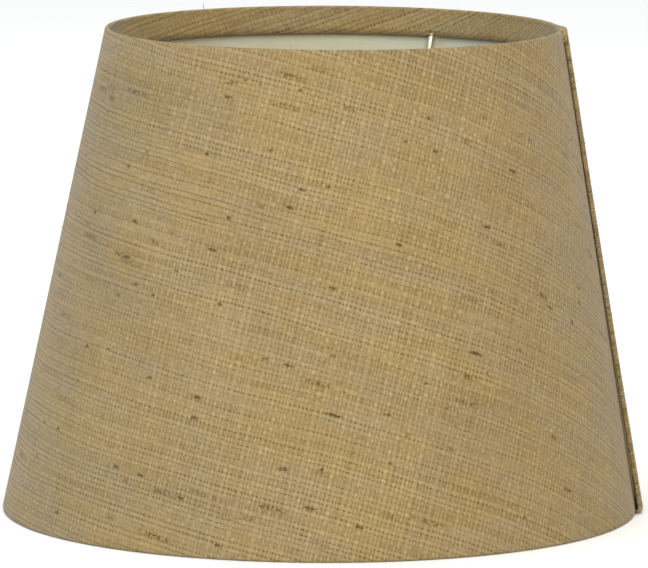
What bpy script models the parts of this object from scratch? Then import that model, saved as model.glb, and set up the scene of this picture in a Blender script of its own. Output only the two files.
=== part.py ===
"""Tapered hardback lamp shade: a woven cover on a stiff backing sheet, held by two wire rings.

The cover and the backing are one wrapped panel that overlaps itself at a taped side seam. The cover
turns in over both rims and rolls round the rings. Three cranked spokes carry a pressed fitter ring for
the lampholder. Units are metres, +Z is up, and the origin is the centre of the circle it stands on.
"""

import math

import bmesh
import bpy
from mathutils import Vector

# Overall form, measured on the outer face of the cover.
BOTTOM_DIAMETER = 0.200
TOP_DIAMETER = 0.143
HEIGHT = 0.152

# Sheet stock, and the clearances between faces that touch on the real shade.
COVER_THICKNESS = 0.0005
BACKING_THICKNESS = 0.0003
TAPE_THICKNESS = 0.0002
CLEARANCE = 0.0002
WIRE_CLEARANCE = 0.0003

# Wire rings, set back from the folded rims, and how far the cover tucks round behind them.
RING_WIRE = 0.0024
RING_SETBACK = 0.0066
TUCK_ANGLE = math.radians(120)

# Side seam. Angles are about +Z from +X. The panel starts under the seam and ends on top of it.
SEAM_EDGE_ANGLE = math.radians(-6)
SEAM_OVERLAP = math.radians(8)
SEAM_RAMP = math.radians(8)
SEAM_TURN_DOWN = math.radians(0.6)
TURN_IN_GAP = math.radians(0.5)
TAPE_INSET = math.radians(1)
TAPE_END_INSET = 0.004

# Lampholder carrier.
SPOKE_COUNT = 3
FIRST_SPOKE_ANGLE = math.radians(62)
SPOKE_WIRE = 0.0022
SPOKE_LEAN = math.radians(18)
SPOKE_BEND_RADIUS = 0.008
SPOKE_SLIT_CLEARANCE = 0.0005
FITTER_DROP = 0.028
FITTER_HOLE_DIAMETER = 0.042
FITTER_FACE_WIDTH = 0.006
FITTER_SHEET = 0.0012
FITTER_SKIRT = 0.0034

# Facets.
WALL_STEPS = 69
SEAM_STEPS = 4
FOLD_ANGLES_MIDDLE = (40, 140)
WRAP_STEPS = 4
BEND_STEPS = 5
TORUS_STEPS = (72, 10)
FITTER_STEPS = 48
WIRE_BEVEL_RESOLUTION = 2

# Sizes that follow from the ones above.
BOTTOM_RADIUS = BOTTOM_DIAMETER / 2
TOP_RADIUS = TOP_DIAMETER / 2
TAPER = math.atan2(BOTTOM_RADIUS - TOP_RADIUS, HEIGHT)
BACKING_DEPTH = COVER_THICKNESS + CLEARANCE + BACKING_THICKNESS / 2
LINING_DEPTH = BACKING_DEPTH + BACKING_THICKNESS / 2
COVER_OUTER_DEPTH = COVER_THICKNESS / 2
COVER_INNER_DEPTH = LINING_DEPTH + CLEARANCE + COVER_THICKNESS / 2
FOLD_RADIUS = (COVER_INNER_DEPTH - COVER_OUTER_DEPTH) / 2
RING_DEPTH = LINING_DEPTH + WIRE_CLEARANCE + RING_WIRE / 2
WRAP_RADIUS = RING_WIRE / 2 + WIRE_CLEARANCE + COVER_THICKNESS / 2
SEAM_LIFT = TAPE_THICKNESS + BACKING_THICKNESS + COVER_THICKNESS + 2.5 * CLEARANCE
FITTER_TOP = HEIGHT - FITTER_DROP
FITTER_OUTER_RADIUS = FITTER_HOLE_DIAMETER / 2 + FITTER_FACE_WIDTH


class Rim:
    """One end of the wall. A place on it is a depth in from the cover's outer face, and a distance
    along the slant from the rim's corner towards the middle of the shade."""

    def __init__(self, radius, height, inward):
        self.radius = radius
        self.height = height
        self.inward = inward
        lean = FOLD_DEPTH * math.sin(TAPER) * inward
        self.fold_along = (FOLD_RADIUS + COVER_THICKNESS / 2 + lean) / math.cos(TAPER)

    def point(self, depth, along):
        """The (radius, height) of a place on this end of the wall."""
        radius = self.radius - depth * math.cos(TAPER) - self.inward * along * math.sin(TAPER)
        height = self.height - depth * math.sin(TAPER) + self.inward * along * math.cos(TAPER)
        return radius, height


FOLD_DEPTH = (COVER_OUTER_DEPTH + COVER_INNER_DEPTH) / 2
BOTTOM_RIM = Rim(BOTTOM_RADIUS, 0, 1)
TOP_RIM = Rim(TOP_RADIUS, HEIGHT, -1)


def smoothstep(share):
    share = min(1, max(0, share))
    return share * share * (3 - 2 * share)


def seam_lift(angle):
    """How far the panel stands off its own start, at an unwrapped angle that falls from the start."""
    end = SEAM_EDGE_ANGLE - 2 * math.pi
    over_start = end + SEAM_OVERLAP
    rise = smoothstep((over_start + SEAM_RAMP - angle) / SEAM_RAMP)
    drop = smoothstep((end + SEAM_TURN_DOWN - angle) / SEAM_TURN_DOWN)
    return rise * SEAM_LIFT - drop * (SEAM_LIFT - COVER_THICKNESS - CLEARANCE)


def spread(first, last, steps):
    return [first + (last - first) * i / steps for i in range(steps + 1)]


def panel_angles():
    """The panel's stations, clockwise from its start under the seam to its end on top of it."""
    start = SEAM_EDGE_ANGLE + SEAM_OVERLAP
    lap_end = start - 2 * math.pi
    angles = spread(start, SEAM_EDGE_ANGLE, SEAM_STEPS)
    angles += spread(SEAM_EDGE_ANGLE - TURN_IN_GAP, lap_end + SEAM_RAMP, WALL_STEPS)
    angles += spread(lap_end + SEAM_RAMP, lap_end, SEAM_STEPS)[1:]
    angles += spread(lap_end, SEAM_EDGE_ANGLE - 2 * math.pi, SEAM_STEPS)[1:-1]
    angles += [SEAM_EDGE_ANGLE - 2 * math.pi + SEAM_TURN_DOWN, SEAM_EDGE_ANGLE - 2 * math.pi]
    return angles


def fold_profile(rim):
    """The cover's mid-line over a rim, as (depth, along, share of the seam's lift), wall side first."""
    crest = 90 + rim.inward * math.degrees(TAPER)
    places = []
    for degrees in (0, FOLD_ANGLES_MIDDLE[0], crest, FOLD_ANGLES_MIDDLE[1], 180):
        turn = math.radians(degrees)
        lift_share = (1 + math.cos(turn)) / 2
        along = rim.fold_along - FOLD_RADIUS * math.sin(turn)
        places.append((FOLD_DEPTH - FOLD_RADIUS * math.cos(turn), along, lift_share))
    return places


def wrap_profile(rim):
    """The cover's mid-line where it rolls round the ring, from where it first touches to its raw edge."""
    to_ring = Vector((RING_DEPTH - COVER_INNER_DEPTH, RING_SETBACK - rim.fold_along))
    slope = math.atan2(to_ring.x, to_ring.y) + math.asin(WRAP_RADIUS / to_ring.length)
    places = []
    for turn in spread(-slope, TUCK_ANGLE, WRAP_STEPS):
        depth = RING_DEPTH + WRAP_RADIUS * math.cos(turn)
        along = RING_SETBACK + WRAP_RADIUS * math.sin(turn)
        places.append((depth, along, 0))
    return places


def turned_in_profile(rim):
    return fold_profile(rim) + wrap_profile(rim)


def turned(radius, height, angle):
    return Vector((radius * math.cos(angle), radius * math.sin(angle), height))


def bent_grid(name, columns, rows, place):
    """A grid of vertices put where place(column, row) says. Those it gives no place are left out."""
    bm = bmesh.new()
    bmesh.ops.create_grid(bm, x_segments=columns - 1, y_segments=rows - 1, size=1)
    unused = []
    for vertex in bm.verts:
        column = round((vertex.co.x + 1) / 2 * (columns - 1))
        row = round((vertex.co.y + 1) / 2 * (rows - 1))
        position = place(column, row)
        if position is None:
            unused.append(vertex)
        else:
            vertex.co = position
    bmesh.ops.delete(bm, geom=unused, context="VERTS")
    mesh = bpy.data.meshes.new(name)
    bm.to_mesh(mesh)
    bm.free()
    return bpy.data.objects.new(name, mesh)


def thicken(piece, thickness):
    solidify = piece.modifiers.new("sheet", "SOLIDIFY")
    solidify.thickness = thickness
    solidify.offset = 0
    solidify.use_even_offset = True


def make_cover():
    """The woven cover: the wall, its folds over both rims and its rolls round both rings."""
    top = turned_in_profile(TOP_RIM)
    bottom = turned_in_profile(BOTTOM_RIM)
    rows = [(TOP_RIM, place) for place in reversed(top)] + [(BOTTOM_RIM, place) for place in bottom]
    wall_rows = (len(top) - 1, len(top))
    angles = panel_angles()

    def place(column, row):
        if column <= SEAM_STEPS and row not in wall_rows:
            return None
        rim, (depth, along, lift_share) = rows[row]
        angle = angles[column]
        return turned(*rim.point(depth - lift_share * seam_lift(angle), along), angle)

    cover = bent_grid("fabric_cover", len(angles), len(rows), place)
    thicken(cover, COVER_THICKNESS)
    return cover


def make_backing():
    """The stiff white sheet that the cover is laminated to. It stops short of the seam's turned edge."""
    angles = [a for a in panel_angles() if a >= SEAM_EDGE_ANGLE - 2 * math.pi + 2 * SEAM_TURN_DOWN]
    rims = (TOP_RIM, BOTTOM_RIM)

    def place(column, row):
        rim = rims[row]
        angle = angles[column]
        return turned(*rim.point(BACKING_DEPTH - seam_lift(angle), rim.fold_along), angle)

    backing = bent_grid("backing_sheet", len(angles), len(rims), place)
    thicken(backing, BACKING_THICKNESS)
    return backing


def make_seam_tape():
    """The double-sided tape that holds the overlap shut."""
    first = SEAM_EDGE_ANGLE + SEAM_OVERLAP - TAPE_INSET
    last = SEAM_EDGE_ANGLE + TAPE_INSET
    angles = spread(first, last, SEAM_STEPS)
    rims = (TOP_RIM, BOTTOM_RIM)
    outward = 0.75 * CLEARANCE + TAPE_THICKNESS / 2

    def place(column, row):
        rim = rims[row]
        return turned(*rim.point(-outward, rim.fold_along + TAPE_END_INSET), angles[column])

    tape = bent_grid("seam_tape", len(angles), len(rims), place)
    thicken(tape, TAPE_THICKNESS)
    return tape


def make_ring(name, rim):
    radius, height = rim.point(RING_DEPTH, RING_SETBACK)
    bpy.ops.mesh.primitive_torus_add(
        major_segments=TORUS_STEPS[0],
        minor_segments=TORUS_STEPS[1],
        major_radius=radius,
        minor_radius=RING_WIRE / 2,
        location=(0, 0, height),
    )
    ring = bpy.context.object
    ring.name = name
    return ring


def spoke_route():
    """The spoke's centre line as (radius, height): down from the top ring, a bend, and in to the fitter."""
    ring_radius, ring_height = TOP_RIM.point(RING_DEPTH, RING_SETBACK)
    start_drop = RING_WIRE / 2 + 2 * WIRE_CLEARANCE
    start = Vector((ring_radius, ring_height - start_drop))
    arm_height = FITTER_TOP - FITTER_SKIRT / 2
    down = Vector((-math.sin(SPOKE_LEAN), -math.cos(SPOKE_LEAN)))
    bend_angle = math.pi / 2 - SPOKE_LEAN
    bend_drop = SPOKE_BEND_RADIUS * (1 - math.sin(SPOKE_LEAN))
    bend_start = start + down * ((start.y - arm_height - bend_drop) / math.cos(SPOKE_LEAN))
    centre = bend_start + Vector((-math.cos(SPOKE_LEAN), math.sin(SPOKE_LEAN))) * SPOKE_BEND_RADIUS
    points = [start]
    for turn in spread(0, bend_angle, BEND_STEPS):
        direction = Vector((math.cos(SPOKE_LEAN + turn), -math.sin(SPOKE_LEAN + turn)))
        points.append(centre + direction * SPOKE_BEND_RADIUS)
    points.append(Vector((FITTER_OUTER_RADIUS + WIRE_CLEARANCE, arm_height)))
    return points


def make_spoke(number):
    """One cranked wire arm, drawn along +X and turned to its place."""
    curve = bpy.data.curves.new(f"spoke_{number}", "CURVE")
    curve.dimensions = "3D"
    curve.bevel_depth = SPOKE_WIRE / 2
    curve.bevel_resolution = WIRE_BEVEL_RESOLUTION
    curve.use_fill_caps = True
    route = spoke_route()
    spline = curve.splines.new("POLY")
    spline.points.add(len(route) - 1)
    for point, (radius, height) in zip(spline.points, route):
        point.co = (radius, 0, height, 1)
    spoke = bpy.data.objects.new(f"spoke_{number}", curve)
    spoke.rotation_euler.z = spoke_angle(number)
    return spoke


def spoke_angle(number):
    return FIRST_SPOKE_ANGLE + (number - 1) * 2 * math.pi / SPOKE_COUNT


def make_fitter_ring():
    """The pressed ring that the lampholder clamps: a flat face round the hole, and a skirt outside it."""
    hole = FITTER_HOLE_DIAMETER / 2
    outer = FITTER_OUTER_RADIUS
    outline = [
        (hole, FITTER_TOP),
        (outer, FITTER_TOP),
        (outer, FITTER_TOP - FITTER_SKIRT),
        (outer - FITTER_SHEET, FITTER_TOP - FITTER_SKIRT),
        (outer - FITTER_SHEET, FITTER_TOP - FITTER_SHEET),
        (hole, FITTER_TOP - FITTER_SHEET),
    ]
    bm = bmesh.new()
    vertices = [bm.verts.new((radius, 0, height)) for radius, height in outline]
    for i, vertex in enumerate(vertices):
        bm.edges.new((vertex, vertices[(i + 1) % len(vertices)]))
    mesh = bpy.data.meshes.new("fitter_ring")
    bm.to_mesh(mesh)
    bm.free()
    fitter = bpy.data.objects.new("fitter_ring", mesh)
    screw = fitter.modifiers.new("turned", "SCREW")
    screw.steps = screw.render_steps = FITTER_STEPS
    screw.use_merge_vertices = True
    screw.merge_threshold = 1e-5
    return fitter


def make_spoke_slit(number):
    """A cutter for the slit that lets a spoke out through the cover's roll round the top ring."""
    ring_radius, ring_height = TOP_RIM.point(RING_DEPTH, RING_SETBACK)
    width = SPOKE_WIRE + 2 * SPOKE_SLIT_CLEARANCE
    reach = WRAP_RADIUS + COVER_THICKNESS
    bpy.ops.mesh.primitive_cube_add(size=1, rotation=(0, 0, spoke_angle(number)))
    cutter = bpy.context.object
    cutter.name = f"spoke_slit_{number}"
    cutter.scale = (2 * reach, width, 2 * reach)
    cutter.location = turned(ring_radius + WRAP_RADIUS - reach, ring_height - reach, spoke_angle(number))
    cutter.display_type = "WIRE"
    cutter.hide_render = True
    return cutter


def material(name, colour, roughness, metallic=0):
    made = bpy.data.materials.new(name)
    made.use_nodes = True
    shader = made.node_tree.nodes["Principled BSDF"]
    shader.inputs["Base Color"].default_value = (*colour, 1)
    shader.inputs["Roughness"].default_value = roughness
    shader.inputs["Metallic"].default_value = metallic
    return made


def place_in(collection, piece, parent=None):
    for other in list(piece.users_collection):
        other.objects.unlink(piece)
    collection.objects.link(piece)
    piece.parent = parent


def dress(piece, finish):
    piece.data.materials.append(finish)
    if piece.type == "MESH":
        piece.data.shade_smooth()
        piece.data.set_sharp_from_angle(angle=math.radians(35))


def main():
    for leftover in list(bpy.data.objects):
        bpy.data.objects.remove(leftover)
    shade = bpy.data.collections.new("lamp_shade")
    cutters = bpy.data.collections.new("cutters")
    for collection in (shade, cutters):
        bpy.context.scene.collection.children.link(collection)
    cloth = material("slub_weave", (0.40, 0.31, 0.17), 0.85)
    lining = material("white_lining", (0.80, 0.78, 0.70), 0.55)
    adhesive = material("clear_tape", (0.75, 0.72, 0.62), 0.4)
    plated = material("plated_steel", (0.62, 0.60, 0.52), 0.3, 1)
    numbers = range(1, SPOKE_COUNT + 1)
    cover = make_cover()
    pieces = [
        (cover, cloth),
        (make_backing(), lining),
        (make_seam_tape(), adhesive),
        (make_ring("top_ring", TOP_RIM), plated),
        (make_ring("bottom_ring", BOTTOM_RIM), plated),
        (make_fitter_ring(), plated),
    ]
    pieces += [(make_spoke(number), plated) for number in numbers]
    frame = bpy.data.objects.new("lamp_shade_origin", None)
    shade.objects.link(frame)
    for piece, finish in pieces:
        place_in(shade, piece, frame)
        dress(piece, finish)
    for number in numbers:
        place_in(cutters, make_spoke_slit(number))
    slits = cover.modifiers.new("spoke_slits", "BOOLEAN")
    slits.operation = "DIFFERENCE"
    slits.solver = "EXACT"
    slits.operand_type = "COLLECTION"
    slits.collection = cutters


main()
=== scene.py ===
"""Look of a tapered lamp shade: slubby woven cloth on a white lining, with plated wirework inside.

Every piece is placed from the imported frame. The cloth, the lining and the tape are sheets bent onto the
same cone, so one class, ShadeForm, turns a place on the flat cut into a place on the shade. Lengths are
metres. Azimuth is the angle about +Z from +X, and -Y is the front.
"""

import logging
import math
import random
from dataclasses import dataclass
from enum import Enum
from typing import Callable, Iterable, Sequence

import bmesh
import bpy
from mathutils import Matrix, Vector, noise


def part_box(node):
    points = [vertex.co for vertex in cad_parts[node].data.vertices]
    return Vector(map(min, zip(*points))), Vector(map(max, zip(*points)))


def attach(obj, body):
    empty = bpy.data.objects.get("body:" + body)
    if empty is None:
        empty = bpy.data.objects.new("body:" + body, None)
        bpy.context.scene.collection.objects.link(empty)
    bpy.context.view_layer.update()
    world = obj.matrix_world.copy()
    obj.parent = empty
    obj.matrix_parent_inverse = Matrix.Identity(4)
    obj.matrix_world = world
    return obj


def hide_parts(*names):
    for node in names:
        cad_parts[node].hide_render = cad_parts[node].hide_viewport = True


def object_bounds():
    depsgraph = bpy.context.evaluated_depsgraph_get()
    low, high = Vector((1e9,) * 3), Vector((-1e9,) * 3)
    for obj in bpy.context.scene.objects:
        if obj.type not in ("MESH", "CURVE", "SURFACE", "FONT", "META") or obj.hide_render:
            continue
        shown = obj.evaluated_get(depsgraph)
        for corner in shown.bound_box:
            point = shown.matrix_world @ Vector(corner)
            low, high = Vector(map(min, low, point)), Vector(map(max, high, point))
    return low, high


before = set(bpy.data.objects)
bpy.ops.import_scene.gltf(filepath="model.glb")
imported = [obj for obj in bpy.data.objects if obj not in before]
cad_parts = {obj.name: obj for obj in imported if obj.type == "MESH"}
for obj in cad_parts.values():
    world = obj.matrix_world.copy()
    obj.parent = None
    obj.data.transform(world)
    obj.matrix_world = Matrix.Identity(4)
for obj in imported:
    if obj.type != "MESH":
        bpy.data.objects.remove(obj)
CAD_LOW, CAD_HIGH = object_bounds()

log = logging.getLogger("lamp_shade")
BODY = "root"
LEAN = math.radians(1.45)
SPOKE_TURN = math.radians(1)
PRESSED_WORK = math.radians(50)
SHEET_WORK = math.radians(60)
ROUND_WORK = math.radians(80)
THREAD_MAP = "threads"
SLUB_ATTRIBUTE = "slub"
Socket = bpy.types.NodeSocket
Number = float | Socket
Colour = tuple[float, float, float]


# ---------------------------------------------------------------------------------------------------
# The shade's form
# ---------------------------------------------------------------------------------------------------


@dataclass(frozen=True)
class Stock:
    """The sheet and wire that the shade is made from, and the gaps between its layers."""

    cloth: float = 0.0005
    lining: float = 0.0003
    layer_gap: float = 0.0002
    wire_gap: float = 0.0003
    ring_wire: float = 0.0024
    spoke_wire: float = 0.0022
    weft_pitch: float = 0.00152
    warp_pitch: float = 0.00134

    @property
    def lining_depth(self) -> float:
        """Depth of the lining's middle below the cloth's outer face."""
        return self.cloth + self.layer_gap + self.lining / 2

    @property
    def turn_in_depth(self) -> float:
        """Depth of the middle of the cloth once it is turned in behind the lining."""
        return self.lining_depth + self.lining / 2 + self.layer_gap + self.cloth / 2

    @property
    def ring_depth(self) -> float:
        """Depth of a ring's centre line below the cloth's outer face."""
        return self.lining_depth + self.lining / 2 + self.wire_gap + self.ring_wire / 2

    @property
    def roll_radius(self) -> float:
        """Radius of the middle of the cloth where it rolls round a ring."""
        return self.ring_wire / 2 + self.wire_gap + self.cloth / 2


@dataclass(frozen=True)
class Seam:
    """The side seam. The cover starts under it, runs clockwise, and ends on top in a folded hem."""

    edge: float = math.radians(-6)
    overlap: float = math.radians(8)
    ramp: float = math.radians(8)
    lift: float = 0.00180
    top_share: float = 0.78
    bottom_share: float = 1.22
    turn_in_gap: float = math.radians(0.5)
    hem_radius: float = 0.00038
    hem_return: float = 0.0011

    @property
    def start(self) -> float:
        """Azimuth of the cover's first edge, under the seam."""
        return self.edge + self.overlap

    @property
    def end(self) -> float:
        """Unwrapped azimuth of the cover's last edge, one turn clockwise from the seam's edge."""
        return self.edge - 2 * math.pi

    def lap_lift(self, down_share: float) -> float:
        """How far the lap stands off, which grows towards the bottom rim.

        Args:
            down_share: Place down the wall, 0 at the top corner and 1 at the bottom one.

        Returns:
            The lift, in metres.
        """
        share = min(1.0, max(0.0, down_share))
        return self.lift * (self.top_share + (self.bottom_share - self.top_share) * share * share)

    def lift_at(self, azimuth: float, down_share: float) -> float:
        """How far the cover stands off its own start.

        Args:
            azimuth: Unwrapped azimuth, which falls from start to end.
            down_share: Place down the wall, 0 at the top corner and 1 at the bottom one.

        Returns:
            The lift, in metres.
        """
        share = (self.end + self.overlap + self.ramp - azimuth) / self.ramp
        share = min(1.0, max(0.0, share))
        return self.lap_lift(down_share) * share * share * (3 - 2 * share)


@dataclass(frozen=True)
class ShadeForm:
    """The cone that every sheet is bent onto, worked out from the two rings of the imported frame.

    A place on a sheet is a depth below the cloth's outer face, a slant distance down from the top
    corner, and an azimuth.
    """

    stock: Stock
    bottom_radius: float
    top_radius: float
    height: float

    @classmethod
    def from_frame(cls, stock: Stock) -> "ShadeForm":
        """Reads the rings' boxes and projects the cloth's outer face from their centre lines.

        Args:
            stock: The layers between a ring and the cloth's outer face.

        Returns:
            The form of the cloth's outer face.
        """
        (low_radius, low_height), (top_radius, top_height) = (
            cls._centre_line(node, stock) for node in ("bottom_ring", "top_ring")
        )
        slope = (low_radius - top_radius) / (top_height - low_height)
        taper = math.atan(slope)
        bottom_radius = low_radius + stock.ring_depth / math.cos(taper) + low_height * slope
        cover_low, cover_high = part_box("fabric_cover")
        height = cover_low.z + cover_high.z
        return cls(stock, bottom_radius, bottom_radius - height * slope, height)

    @staticmethod
    def _centre_line(node: str, stock: Stock) -> tuple[float, float]:
        """The (radius, height) of a ring's centre line."""
        low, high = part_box(node)
        return high.x - stock.ring_wire / 2, (low.z + high.z) / 2

    @property
    def taper(self) -> float:
        """Angle of the wall from upright."""
        return math.atan2(self.bottom_radius - self.top_radius, self.height)

    @property
    def slant(self) -> float:
        """Length of the wall from corner to corner."""
        return math.hypot(self.bottom_radius - self.top_radius, self.height)

    @property
    def apex_to_top(self) -> float:
        """Slant distance from the cone's apex to the top corner, which is the flat cut's inner radius."""
        return self.top_radius / math.sin(self.taper)

    def profile(self, depth: float, down: float) -> tuple[float, float]:
        """The (radius, height) of a place on the wall.

        Args:
            depth: Distance in from the cloth's outer face.
            down: Slant distance down from the top corner.

        Returns:
            Radius from the axis and height above the floor.
        """
        sine, cosine = math.sin(self.taper), math.cos(self.taper)
        radius = self.top_radius + down * sine - depth * cosine
        height = self.height - down * cosine - depth * sine
        return radius, height

    def point(self, depth: float, down: float, azimuth: float) -> Vector:
        """The place on the shade of a depth, a slant distance and an azimuth."""
        radius, height = self.profile(depth, down)
        return Vector((radius * math.cos(azimuth), radius * math.sin(azimuth), height))

    def outward(self, azimuth: float) -> Vector:
        """The wall's outward normal at an azimuth."""
        cosine = math.cos(self.taper)
        return Vector((math.cos(azimuth) * cosine, math.sin(azimuth) * cosine, math.sin(self.taper)))


@dataclass(frozen=True)
class ThreadPlane:
    """The flat cut, measured along its threads: x counts warp threads crossed, y counts weft threads."""

    form: ShadeForm
    weft_slope: float = math.radians(15.3)
    warp_slant: float = math.radians(3.6)
    front: float = math.radians(-90)

    def threads(self, down: float, azimuth: float) -> Vector:
        """Thread counts at a place on the cut.

        Args:
            down: Distance down the cut from the top corner, which may run past either rim.
            azimuth: Unwrapped azimuth.

        Returns:
            How many warp and weft threads lie between the place and the cone's apex.
        """
        reach = self.form.apex_to_top + down
        turn = (azimuth - self.front) * math.sin(self.form.taper)
        flat = Vector((reach * math.sin(turn), -reach * math.cos(turn)))
        along = flat.x * math.cos(self.weft_slope) - flat.y * math.sin(self.weft_slope)
        across = flat.x * math.sin(self.weft_slope) + flat.y * math.cos(self.weft_slope)
        along += across * math.tan(self.warp_slant)
        return Vector((along / self.form.stock.warp_pitch, across / self.form.stock.weft_pitch))

    def place(self, threads: Vector) -> tuple[float, float]:
        """The (distance down, azimuth) where a warp and a weft thread cross."""
        across = threads.y * self.form.stock.weft_pitch
        along = threads.x * self.form.stock.warp_pitch - across * math.tan(self.warp_slant)
        x = along * math.cos(self.weft_slope) + across * math.sin(self.weft_slope)
        y = across * math.cos(self.weft_slope) - along * math.sin(self.weft_slope)
        turn = math.atan2(x, -y)
        return math.hypot(x, y) - self.form.apex_to_top, self.front + turn / math.sin(self.form.taper)


# ---------------------------------------------------------------------------------------------------
# Mesh helpers
# ---------------------------------------------------------------------------------------------------


def spread(first: float, last: float, steps: int) -> list[float]:
    """Evenly spaced values, both ends included.

    Args:
        first: The first value.
        last: The last value.
        steps: How many intervals lie between them.

    Returns:
        One more value than there are steps.
    """
    return [first + (last - first) * i / steps for i in range(steps + 1)]


def ripple(seed: float, *coordinates: float) -> float:
    """Smooth noise from about -1 to 1, the same on every run."""
    x, y, z = (*coordinates, 0.0, 0.0)[:3]
    return noise.noise(Vector((x + seed, y - seed, z + 2 * seed)))


def lean_matrix() -> Matrix:
    """The shade's small lean: level rings, the top one a little further along +X than the bottom one."""
    slide = Matrix.Identity(4)
    slide[0][2] = math.tan(LEAN)
    slide[0][3] = -math.tan(LEAN) * (CAD_LOW.z + CAD_HIGH.z) / 2
    return slide


def add_piece(
    name: str, bm: bmesh.types.BMesh, finish: bpy.types.Material, smooth: float
) -> bpy.types.Object:
    """Makes a finished object from a bmesh, which it frees, and leans it with the rest of the shade.

    Args:
        name: The piece's name.
        bm: Its shape, in the row frame.
        finish: Its material.
        smooth: Edges sharper than this angle stay sharp.

    Returns:
        The object, riding on the shade.
    """
    bmesh.ops.transform(bm, matrix=lean_matrix(), verts=bm.verts)
    mesh = bpy.data.meshes.new(name)
    bm.to_mesh(mesh)
    bm.free()
    mesh.materials.append(finish)
    mesh.shade_smooth()
    mesh.set_sharp_from_angle(angle=smooth)
    piece = bpy.data.objects.new(name, mesh)
    bpy.context.scene.collection.objects.link(piece)
    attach(piece, BODY)
    log.info("%s: %d faces", name, len(mesh.polygons))
    return piece


def bent_sheet(
    columns: int,
    rows: int,
    place: Callable[[int, int], Vector | None],
    threads: Callable[[int, int], Vector],
) -> bmesh.types.BMesh:
    """A grid bent to shape, with a UV map that runs along its threads.

    Args:
        columns: Vertices round the shade.
        rows: Vertices down the sheet.
        place: Where the vertex of a column and row goes, or None to leave it out.
        threads: The UV of the vertex of a column and row.

    Returns:
        The sheet's middle surface.
    """
    bm = bmesh.new()
    bmesh.ops.create_grid(bm, x_segments=columns - 1, y_segments=rows - 1, size=1)
    uv = bm.loops.layers.uv.new(THREAD_MAP)
    unused = []
    cells = {}
    for vertex in bm.verts:
        column = round((vertex.co.x + 1) / 2 * (columns - 1))
        row = round((vertex.co.y + 1) / 2 * (rows - 1))
        cells[vertex] = (column, row)
    for face in bm.faces:
        for loop in face.loops:
            loop[uv].uv = threads(*cells[loop.vert])
    for vertex, cell in cells.items():
        position = place(*cell)
        if position is None:
            unused.append(vertex)
        else:
            vertex.co = position
    bmesh.ops.delete(bm, geom=unused, context="VERTS")
    return bm


def extrude_faces(
    bm: bmesh.types.BMesh, faces: list[bmesh.types.BMFace]
) -> tuple[list[bmesh.types.BMVert], list[bmesh.types.BMFace]]:
    """Extrudes faces in place.

    Args:
        bm: Where they are.
        faces: The faces to extrude.

    Returns:
        The new vertices, still to be moved, and the new faces.
    """
    grown = bmesh.ops.extrude_face_region(bm, geom=faces)["geom"]
    verts = [item for item in grown if isinstance(item, bmesh.types.BMVert)]
    return verts, [item for item in grown if isinstance(item, bmesh.types.BMFace)]


def thicken(piece: bpy.types.Object, thickness: float) -> None:
    """Gives a sheet its thickness, half on each side of its middle surface."""
    solidify = piece.modifiers.new("thickness", "SOLIDIFY")
    solidify.thickness = thickness
    solidify.offset = 0
    solidify.use_even_offset = True


# ---------------------------------------------------------------------------------------------------
# Material helpers
# ---------------------------------------------------------------------------------------------------


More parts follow.
